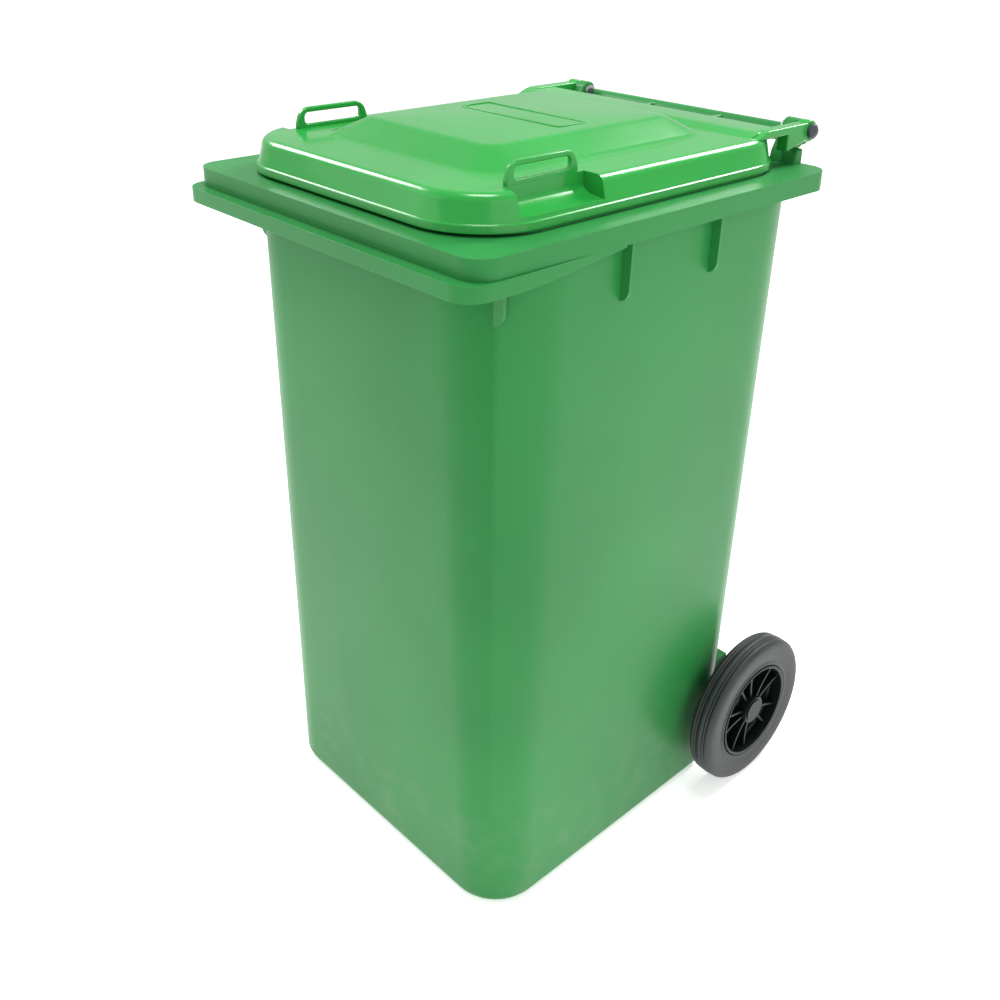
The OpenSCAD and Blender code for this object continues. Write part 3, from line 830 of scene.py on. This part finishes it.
    def inside(self) -> Shape:
        """Builds the solid that hollows the tub."""
        levels = [
            Level(self.floor_plan().grown(-self.wall), self.floor, bevel=self.floor_edge - self.wall, segments=5),
            Level(self.top_plan().grown(-self.wall), self.rim_z - self.rim_plate - self.shoulder),
            Level(self.mouth_plan(), self.rim_z - self.rim_plate),
            Level(self.mouth_plan(), self.rim_z + self.clear),
        ]
        return Shape().loft(levels)

    def arch(self, grow: float) -> Shape:
        """Builds the room for the axle, or the same room with its lining."""
        axle = middle_of("axle")
        front, top = axle.y - self.arch_front - grow, axle.z + self.arch_front + grow
        corners = [
            (front, -self.clear),
            (front, top),
            (axle.y, top + 0.006),
            (self.rear_y + self.clear, top + 0.024),
            (self.rear_y + self.clear, -self.clear),
        ]
        return Shape().plate(corners, -self.width, self.width, radii=(0.0, self.arch_radius, 0.0, 0.0, 0.0), steps=8)

    def underside(self) -> Shape:
        """Builds the shallow recess in the floor's underside."""
        axle = middle_of("axle")
        floor = self.floor_plan()
        plan = Plan(floor.width - 0.078, floor.front + 0.045, axle.y - self.arch_front - 0.04, 0.04)
        return Shape().loft([Level(plan, -0.01), Level(plan, 0.002)])

    def build(self) -> None:
        """Makes the tub."""
        shell = self.outside().cut_by(self.arch(0.0))
        hollow = self.inside().cut_by(self.arch(self.wall))
        shell.cut_by(hollow).cut_by(self.underside())
        shell.piece("tub_shell", "bin", "tub_plastic", self.finish, edge=0.0022, replaces=("body",))
        self.lip_band().piece("tub_lip", "bin", "tub_plastic", self.finish, edge=0.0019)


@dataclass
class TubFittings:
    """The ribs, fins, ears, handle bar and saddles that are moulded on the tub."""

    finish: bpy.types.Material
    tub: Tub
    rib: float = 0.005
    rib_drop: float = 0.076
    fin_drop: float = 0.095
    rib_places: tuple[float, ...] = (0.045, 0.135)
    fin_places: tuple[float, ...] = (0.027, 0.197, 0.367)
    gusset_x: float = 0.066
    ear_width: float = 0.020
    lug_radius: float = 0.015
    bar_radius: float = 0.013
    bar_back: float = 0.020
    bar_down: float = 0.012
    hinge_back: float = 0.018
    saddle_width: float = 0.026
    saddle_in: float = 0.014
    axle_radius: float = 0.010
    root: float = 0.0035
    hinge: Vector = field(init=False)
    axle: Vector = field(init=False)
    ear_x: float = field(init=False)
    lug_x: float = field(init=False)

    def __post_init__(self) -> None:
        """Reads the hinge, the axle and the ears from the frame."""
        self.hinge = middle_of("hinge_pin_right")
        self.axle = middle_of("axle")
        clip_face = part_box("pin_clip_right")[1].x
        self.ear_x = clip_face + self.ear_width + 0.00025
        self.lug_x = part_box("hinge_pin_right")[1].x - 0.009 - 0.0005

    def front_ribs(self) -> Shape:
        """Builds the ribs between the lip and the front wall.

        Returns:
            The ribs.
        """
        tub = self.tub
        top, drop = tub.rim_z, tub.lip_drop
        corners = [
            (tub.lip_front_y + 0.002, top - drop - 0.003),
            (tub.lip_front_y + 0.002, top - drop - tub.lip_depth + 0.004),
            (tub.front_y - 0.004, top - self.rib_drop),
            (tub.front_y + self.root, top - self.rib_drop),
            (tub.front_y + self.root, top - 0.004),
            (tub.lip_front_y + tub.lip + 0.002, top - 0.004),
            (tub.lip_front_y + tub.lip + 0.002, top - drop - 0.003),
        ]
        ribs = Shape()
        for x in self.rib_places:
            ribs.plate(corners, x - self.rib / 2, x + self.rib / 2, radii=(0.0, 0.004, 0.010, 0.0, 0.0, 0.0, 0.0))
        return ribs.mirrored()

    def side_fins(self) -> Shape:
        """Builds the fins under the rim's sides, round at the foot.

        Returns:
            The fins.
        """
        tub = self.tub
        foot, top = tub.rim_z - self.fin_drop, tub.rim_z - 0.004
        fins = Shape()
        for place in self.fin_places:
            turned_in = max(0.0, tub.top_radius - place)
            wall = tub.width / 2 - tub.top_radius + math.sqrt(tub.top_radius**2 - turned_in**2)
            inner, outer = wall - self.root, wall + tub.rim_side - 0.0045
            corners = [(inner, top), (inner, foot - 0.007), (outer - 0.002, foot), (outer, top - 0.020), (outer, top)]
            low = tub.front_y + place - self.rib / 2
            fins.plate(corners, low, low + self.rib, Side.FROM_FRONT, radii=(0.0, 0.002, 0.010, 0.0, 0.0), steps=8)
        return fins.mirrored()

    def rear_gussets(self) -> Shape:
        """Builds the upright gussets between the rear wall and the rim.

        Returns:
            The gussets.
        """
        tub = self.tub
        rim = tub.rim_plan()
        corners = [
            (tub.rear_y - self.root, tub.rim_z - 0.004),
            (tub.rear_y - self.root, tub.rim_z - self.fin_drop),
            (tub.rear_y + 0.001, tub.rim_z - self.fin_drop),
            (rim.rear - 0.001, tub.rim_z - tub.rim_plate - 0.008),
            (rim.rear - 0.001, tub.rim_z - 0.004),
        ]
        parts = Shape()
        for x in (self.gusset_x, self.ear_x - self.ear_width / 2):
            parts.plate(corners, x - self.rib / 2, x + self.rib / 2)
        return parts.mirrored()

    def ear_outline(self, boss: bool) -> list[Point]:
        """Gives the side view of an ear, which runs back to the handle bar.

        Args:
            boss: Whether the ear holds a hinge pin.

        Returns:
            The outline's corners.
        """
        hinge, foot = self.hinge, self.tub.rim_z - 0.001
        front = hinge.y - self.hinge_back
        crest = hinge.z + (self.lug_radius * 0.7 if boss else -0.002)
        return [
            (front - 0.020, foot),
            (front, foot),
            (hinge.y, foot + 0.010),
            (hinge.y + self.bar_back, hinge.z - self.bar_down - self.bar_radius * 0.8),
            (hinge.y + self.bar_back, hinge.z - self.bar_down + self.bar_radius * 0.8),
            (hinge.y - self.lug_radius * 0.7, crest),
            (front - 0.016, foot + 0.016),
        ]

    def ears(self) -> Shape:
        """Builds the hinge ears, the two middle struts and the handle bar."""
        parts = Shape()
        parts.plate(self.ear_outline(True), self.ear_x - self.ear_width + 0.0004, self.ear_x - 0.0004)
        parts.rod(Vector((self.ear_x - self.ear_width, self.hinge.y, self.hinge.z)), self.ear_width, self.lug_radius)
        parts.plate(self.ear_outline(False), self.gusset_x - self.rib, self.gusset_x + self.rib)
        foot, front = self.tub.rim_z - 0.001, self.hinge.y - self.hinge_back
        stop = [(front - 0.018, foot), (front, foot), (front, foot + 0.022), (front - 0.014, foot + 0.018)]
        parts.plate(stop, self.ear_x - 0.001, self.lug_x + 0.002, radii=(0.0, 0.0, 0.003, 0.003))
        parts.mirrored()
        bar = Vector((-self.ear_x, self.hinge.y + self.bar_back, self.hinge.z - self.bar_down))
        return parts.rod(bar, 2 * self.ear_x, self.bar_radius)

    def saddles(self) -> Shape:
        """Builds the plates that hang in the arch and hold the axle.

        Returns:
            The saddles.
        """
        tub, axle = self.tub, self.axle
        boss = self.axle_radius + 0.012
        front, top = axle.y - tub.arch_front - tub.wall / 2, axle.z + tub.arch_front
        corners = [
            (front, axle.z - 0.070),
            (front + 0.008, axle.z - 0.070),
            (axle.y, axle.z - boss),
            (axle.y + boss, axle.z),
            (axle.y + boss, top + 0.008),
            (axle.y - 0.020, top + 0.004),
            (front, top - 0.004),
        ]
        outer = tub.width / 2 - tub.side_lean - self.saddle_in - self.saddle_width
        parts = Shape()
        for x in (outer, -self.saddle_width / 2):
            parts.plate(corners, x, x + self.saddle_width, radii=(0.0, 0.006, 0.020, 0.012, 0.0, 0.0, 0.0), steps=8)
            if x > 0.0:
                parts.mirrored()
        return parts

    def build(self) -> None:
        """Makes the moulded fittings."""
        parts = self.front_ribs().add(self.side_fins()).add(self.rear_gussets())
        parts.piece("tub_ribs", "bin", "tub_plastic", self.finish, edge=0.0012)
        self.ears().piece("hinge_ears", "bin", "tub_plastic", self.finish, edge=0.0020)
        self.saddles().piece("axle_saddles", "bin", "tub_plastic", self.finish, edge=0.0012)


# ---------------------------------------------------------------- lid


@dataclass
class Lid:
    """The domed lid with its two upright handles and its hinge arms."""

    finish: bpy.types.Material
    tub: Tub
    fittings: TubFittings
    side: float = 0.0425
    setback: float = 0.030
    rear: float = 0.023
    radius: float = 0.100
    height: float = 0.042
    edge: float = 0.012
    lean: float = 0.009
    wall: float = 0.003
    gap: float = 0.004
    flange: float = 0.001
    flange_height: float = 0.009
    crown_side: float = 0.080
    crown_front: float = 0.092
    crown_rear: float = 0.100
    crown_height: float = 0.024
    crown_slope: float = 0.042
    panel: Point = (0.190, 0.054)
    grip_length: float = 0.122
    grip_front: float = 0.078
    grip_height: float = 0.027
    grip_thick: float = 0.007
    grip_in: float = 0.038
    slot: Point = (0.090, 0.015)
    scoop_floor: float = 0.012
    scoop_margin: float = 0.005
    lug_width: float = 0.020
    foot_z: float = field(init=False)
    top_z: float = field(init=False)
    plan: Plan = field(init=False)

    def __post_init__(self) -> None:
        """Works out the lid's place on the rim."""
        rim = self.tub.rim_plan()
        self.plan = Plan(rim.width - 2 * self.side, rim.front + self.setback, rim.rear - self.rear, self.radius)
        self.foot_z = self.tub.rim_z + self.gap
        self.top_z = self.foot_z + self.height

    def crown_plan(self, inset: float, radius: float) -> Plan:
        """Gives a level line of the raised middle."""
        width = self.plan.width - 2 * self.crown_side
        return Plan(
            width - 2 * inset,
            self.plan.front + self.crown_front + inset,
            self.plan.rear - self.crown_rear - inset,
            radius,
        )

    def grip_y(self) -> float:
        """Gives where the handles start."""
        return self.plan.front + self.grip_front

    def grip_x(self) -> float:
        """Gives the handles' outer face."""
        return self.plan.width / 2 - self.grip_in

    def solid(self) -> Shape:
        """Builds the lid's outer solid."""
        flange_z = self.foot_z + self.flange_height
        skirt = self.plan.grown(-self.lean * self.flange_height / self.height)
        levels = [
            Level(self.plan.grown(self.flange), self.foot_z),
            Level(self.plan.grown(self.flange * 0.6), flange_z, bevel=0.0006, segments=2),
            Level(skirt, flange_z + 0.0008, bevel=0.0004, segments=1),
            Level(self.plan.grown(-self.lean), self.top_z, bevel=self.edge * 0.80, segments=7),
            Level(self.crown_plan(0.0, 0.040), self.top_z, bevel=0.007, segments=4),
            Level(self.crown_plan(self.crown_slope, 0.022), self.top_z + self.crown_height, bevel=0.006, segments=4),
        ]
        return Shape().loft(levels)

    def scoop(self) -> Shape:
        """Builds the finger room outside one handle.

        Returns:
            The solid that cuts it.
        """
        floor = self.foot_z + self.scoop_floor
        x = self.grip_x()
        corners = [
            (x, self.top_z + 0.06),
            (x, floor + 0.012),
            (x + 0.008, floor + 0.006),
            (self.plan.width / 2 + 0.02, floor),
            (self.plan.width / 2 + 0.02, self.top_z + 0.06),
        ]
        low, high = self.grip_y() - self.scoop_margin, self.grip_y() + self.grip_length + self.scoop_margin
        return Shape().plate(corners, low, high, Side.FROM_FRONT, radii=(0.0, 0.004, 0.006, 0.0, 0.0)).mirrored()

    def rear_band(self) -> Shape:
        """Builds the raised band across the rear, between the arms."""
        rear, top = self.plan.rear, self.top_z
        corners = [
            (rear - 0.096, top - 0.0015),
            (rear - 0.070, top + 0.006),
            (rear - 0.018, top + 0.006),
            (rear - self.lean - 0.004, top - 0.005),
            (rear - 0.092, top - 0.005),
        ]
        reach = self.fittings.lug_x - self.lug_width / 2
        return Shape().plate(corners, -reach, reach, radii=(0.0, 0.004, 0.005, 0.0, 0.0))

    def shell(self) -> None:
        """Makes the lid's shell, hollow underneath."""
        shape = self.solid().cut_by(self.scoop())
        under = [face for face in shape.bm.faces if face.calc_center_median().z < self.foot_z + 0.0005]
        bmesh.ops.delete(shape.bm, geom=under, context="FACES")
        shape.piece("lid_shell", "lid", "lid_plastic", self.finish, edge=0.0016, wall=self.wall, replaces=("lid",))

    def grips(self) -> Shape:
        """Builds the two upright loops.

        Returns:
            The loops.
        """
        y0, y1 = self.grip_y(), self.grip_y() + self.grip_length
        foot, top = self.top_z - 0.006, self.top_z + self.grip_height
        slot_y = y0 + (self.grip_length - self.slot[0]) / 2
        slot_z = top - 0.007 - self.slot[1]
        outer = [(y0, foot), (y1, foot), (y1 - 0.010, top), (y0 + 0.010, top)]
        inner = [
            (slot_y, slot_z),
            (slot_y + self.slot[0], slot_z),
            (slot_y + self.slot[0], slot_z + self.slot[1]),
            (slot_y, slot_z + self.slot[1]),
        ]
        face = self.grip_x() - 0.0008
        loops = Shape().frame_plate(outer, inner, (0.013, 0.006), face - self.grip_thick, face, Side.FROM_SIDE)
        return loops.mirrored()

    def arms(self) -> Shape:
        """Builds the arms and the hinge lugs.

        Returns:
            The arms.
        """
        rear, hinge, lug_x = self.plan.rear, self.fittings.hinge, self.fittings.lug_x
        corners = [
            (rear - 0.090, self.top_z - self.wall),
            (rear - 0.014, self.top_z - self.wall),
            (rear - 0.014, self.foot_z + 0.016),
            (rear - 0.003, self.foot_z + 0.018),
            (hinge.y - 0.008, hinge.z - 0.012),
            (hinge.y + 0.004, hinge.z - 0.012),
            (hinge.y, hinge.z + 0.012),
            (rear - 0.060, hinge.z + 0.012),
        ]
        low = lug_x - self.lug_width
        parts = Shape().plate(corners, low + 0.0005, lug_x - 0.0005, radii=(0.0, 0.0, 0.0, 0.0, 0.0, 0.0, 0.0, 0.008))
        parts.rod(Vector((low, hinge.y, hinge.z)), self.lug_width, self.fittings.lug_radius)
        return parts.mirrored()

    def outlined_panel(self) -> Shape:
        """Builds the thin raised outline on the raised middle."""
        crown = self.crown_plan(0.0, 0.040)
        y = (crown.front + crown.rear) / 2 + 0.006
        z = self.top_z + self.crown_height
        line = 0.003
        frames = []
        for inset in (0.0, line):
            x, half = self.panel[0] / 2 - inset, self.panel[1] / 2 - inset
            frames.append([(-x, y - half), (x, y - half), (x, y + half), (-x, y + half)])
        return Shape().frame_plate(frames[0], frames[1], (0.008, 0.005), z - 0.001, z + 0.0012, Side.FROM_ABOVE)

    def build(self) -> None:
        """Makes the lid."""
        self.shell()
        self.rear_band().piece("lid_band", "lid", "lid_plastic", self.finish, edge=0.0025)
        self.grips().piece("lid_handles", "lid", "lid_plastic", self.finish, edge=0.0023, edge_steps=4)
        self.arms().piece("lid_arms", "lid", "lid_plastic", self.finish, edge=0.0022)
        self.outlined_panel().piece("lid_panel", "lid", "lid_plastic", self.finish, edge=0.0007, edge_steps=2)


# ---------------------------------------------------------------- wheels


@dataclass
class Wheel:
    """One wheel: a solid tyre on a ribbed hub."""

    finishes: Finishes
    name: str
    outward: float
    radius: float = 0.125
    bore: float = 0.080
    width: float = 0.042
    hub_wall: float = 0.005
    boss: float = 0.023
    axle_bore: float = 0.013
    spokes: int = 5
    fan: float = 27.0
    rib: float = 0.004

    def middle(self) -> Vector:
        """Gives the middle of the wheel."""
        return middle_of(f"tyre_{self.name}")

    def facing(self, profile: Sequence[Point]) -> list[Point]:
        """Turns a profile drawn for the right wheel to face outward."""
        return [(x * self.outward, radius) for x, radius in profile]

    def tyre(self) -> None:
        """Makes the tyre, with fine grooves beside the tread and a lip at the hub."""
        half, shoulder = self.width / 2, 0.012
        crown = self.radius
        outer: list[Point] = [
            (0.0, crown),
            (half - 0.0165, crown - 0.0002),
            (half - 0.0160, crown - 0.0016),
            (half - 0.0150, crown - 0.0016),
            (half - 0.0145, crown - 0.0003),
            (half - 0.0120, crown - 0.0005),
            (half - 0.0115, crown - 0.0019),
            (half - 0.0105, crown - 0.0020),
            (half - 0.0100, crown - 0.0009),
        ]
        for step in range(2, 9):
            turn = math.radians(step * 90 / 8)
            outer.append((half - shoulder + shoulder * math.sin(turn), crown - shoulder + shoulder * math.cos(turn)))
        outer += [
            (half + 0.0, crown - 0.018),
            (half - 0.0008, crown - 0.026),
            (half - 0.0022, crown - 0.034),
            (half - 0.0026, self.bore + 0.0070),
            (half - 0.0014, self.bore + 0.0055),
            (half - 0.0014, self.bore + 0.0030),
            (half - 0.0035, self.bore + 0.0002),
        ]
        whole = outer + [(-x, radius) for x, radius in reversed(outer[1:])]
        shape = Shape().turned(self.facing(whole), self.middle(), segments=128)
        shape.piece(
            f"tyre_{self.name}_detail", f"wheel_{self.name}", "tyre_rubber", self.finishes.tyre,
            replaces=(f"tyre_{self.name}",),
        )

    def hub(self) -> None:
        """Makes the hub: a rim, a web, V-shaped ribs and a boss with a cap seat."""
        half = self.width / 2
        rim, inner = self.bore - 0.0002, self.bore - self.hub_wall
        web_low, web_high = -self.hub_wall / 2 - 0.006, self.hub_wall / 2 - 0.006
        profile: list[Point] = [
            (-half + 0.001, rim),
            (half - 0.0015, rim),
            (half - 0.001, rim - 0.0008),
            (half - 0.001, inner + 0.0010),
            (half - 0.0018, inner),
            (web_high + 0.003, inner - 0.0004),
            (web_high, inner - 0.0030),
            (web_high, self.boss + 0.003),
            (web_high + 0.003, self.boss),
            (half - 0.0065, self.boss),
            (half - 0.0061, self.boss - 0.0006),
            (half - 0.0061, self.axle_bore),
            (-half, self.axle_bore),
            (-half, self.boss - 0.0010),
            (-half + 0.0010, self.boss),
            (web_low - 0.002, self.boss),
            (web_low, self.boss + 0.002),
            (web_low, inner - 0.002),
            (web_low - 0.002, inner),
            (-half + 0.001, inner),
        ]
        middle = self.middle()
        shape = Shape().turned(self.facing(profile), middle)
        shape.add(self.ribs(middle))
        shape.piece(
            f"hub_{self.name}_detail", f"wheel_{self.name}", "hub_plastic", self.finishes.hub, edge=0.0006,
            edge_steps=2, replaces=(f"wheel_hub_{self.name}",),
        )

    def ribs(self, middle: Vector) -> Shape:
        """Builds the V-shaped ribs on both faces of the web.

        Args:
            middle: The middle of the wheel.

        Returns:
            The ribs.
        """
        half = self.width / 2
        inner, outer = self.boss - 0.002, self.bore - self.hub_wall + 0.0015
        corners = [
            (-half + 0.007, inner),
            (-half + 0.007, outer),
            (half - 0.0086, outer),
            (half - 0.0115, (inner + outer) / 2),
            (half - 0.0090, inner),
        ]
        ribs = Shape()
        for index in range(self.spokes):
            for arm in (-0.5, 0.5):
                rib = Shape().plate(
                    self.facing(corners),
                    -self.rib / 2,
                    self.rib / 2,
                    Side.FROM_ABOVE,
                    radii=(0.0, 0.0, 0.0, 0.020, 0.0),
                    steps=6,
                )
                turn = math.radians(index * 360 / self.spokes + 36 + arm * self.fan)
                bmesh.ops.rotate(rib.bm, verts=rib.bm.verts, cent=(0, 0, 0), matrix=Matrix.Rotation(turn, 3, "X"))
                ribs.add(rib)
        bmesh.ops.recalc_face_normals(ribs.bm, faces=ribs.bm.faces)
        bmesh.ops.translate(ribs.bm, verts=ribs.bm.verts, vec=middle)
        return ribs

    def build(self) -> None:
        """Makes the wheel."""
        self.tyre()
        self.hub()


# ---------------------------------------------------------------- hardware


@dataclass
class Hardware:
    """The frame's own small parts, which keep their shape and take a finish."""

    finishes: Finishes

    def dress(self, node: str, material: bpy.types.Material) -> None:
        """Gives a frame node its finish."""
        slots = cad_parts[node].material_slots
        if slots:
            for slot in slots:
                slot.material = material
        else:
            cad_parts[node].data.materials.append(material)
        log.info("%s dressed in %s", node, material.name)

    def build(self) -> None:
        """Dresses every small part."""
        made = self.finishes
        self.dress("axle", made.zinc)
        pairs = {
            "hinge_pin": made.pin,
            "pin_clip": made.spring,
            "axle_spacer": made.spacer,
            "hub_bush": made.bush,
            "hub_cap": made.hub,
            "lock_pin": made.zinc,
            "lock_spring": made.spring,
        }
        for kind, material in pairs.items():
            for side in ("left", "right"):
                self.dress(f"{kind}_{side}", material)


# ---------------------------------------------------------------- studio


@dataclass
class Studio:
    """A pale floor, soft light and the camera."""

    camera_place: tuple[float, float, float] = (1.0851, -1.0641, 1.3435)
    heading: float = 45.65
    pitch: float = 24.64
    roll: float = 1.23
    lens: float = 40.14
    shift: Point = (-0.02, -0.10)
    sensor: float = 36.0
    sky: float = 0.62
    floor_reach: float = 20.0
    aim: tuple[float, float, float] = (0.0, 0.0, 0.55)

    def floor(self) -> None:
        """Makes the floor."""
        shape = Shape()
        bmesh.ops.create_grid(shape.bm, x_segments=4, y_segments=4, size=self.floor_reach)
        mesh = bpy.data.meshes.new("studio_floor")
        shape.bm.to_mesh(mesh)
        made = bpy.data.objects.new("studio_floor", mesh)
        made.data.materials.append(StudioFloor().material())
        bpy.context.scene.collection.objects.link(made)

    def light(self, name: str, place: Vector, size: float, power: float) -> None:
        """Adds a soft square light aimed at the bin's middle."""
        data = bpy.data.lights.new(name, "AREA")
        data.size = size
        data.energy = power
        made = bpy.data.objects.new(name, data)
        made.location = place
        made.rotation_euler = (Vector(self.aim) - place).to_track_quat("-Z", "Y").to_euler()
        bpy.context.scene.collection.objects.link(made)

    def lights(self) -> None:
        """Adds the lights and the even light all round."""
        self.light("back", Vector((0.3, 2.7, 3.1)), 1.1, 95.0)
        self.light("left", Vector((-2.8, -0.6, 3.0)), 1.1, 65.0)
        self.light("top", Vector((0.2, -0.2, 4.0)), 1.0, 65.0)
        self.light("front_fill", Vector((-2.0, -3.2, 2.2)), 3.0, 30.0)
        self.light("side_fill", Vector((3.4, -0.4, 1.8)), 3.0, 32.0)
        world = bpy.data.worlds.new("studio")
        world.use_nodes = True
        background = world.node_tree.nodes["Background"]
        background.inputs["Color"].default_value = (1.0, 1.0, 1.0, 1.0)
        background.inputs["Strength"].default_value = self.sky
        bpy.context.scene.world = world

    def camera(self) -> None:
        """Adds the camera."""
        data = bpy.data.cameras.new("camera")
        data.lens = self.lens
        data.sensor_width = self.sensor
        data.shift_x, data.shift_y = self.shift
        made = bpy.data.objects.new("camera", data)
        heading = Matrix.Rotation(math.radians(self.heading), 4, "Z")
        pitch = Matrix.Rotation(math.radians(90.0 - self.pitch), 4, "X")
        roll = Matrix.Rotation(math.radians(self.roll), 4, "Z")
        made.matrix_world = Matrix.Translation(self.camera_place) @ heading @ pitch @ roll
        bpy.context.scene.collection.objects.link(made)
        bpy.context.scene.camera = made

    def build(self) -> None:
        """Makes the studio."""
        self.floor()
        self.lights()
        self.camera()
        bpy.context.scene.view_settings.view_transform = "Standard"


def main() -> None:
    """Builds the bin piece by piece, then the studio."""
    logging.basicConfig(level=logging.INFO, format="%(name)s: %(message)s")
    finishes = Finishes()
    tub = Tub(finishes.tub)
    fittings = TubFittings(finishes.tub, tub)
    lid = Lid(finishes.lid, tub, fittings)
    wheels = [Wheel(finishes, "left", -1.0), Wheel(finishes, "right", 1.0)]
    for part in (tub, fittings, lid, *wheels, Hardware(finishes), Studio()):
        part.build()
        log.info("%s done", type(part).__name__)


if __name__ == "__main__":
    main()
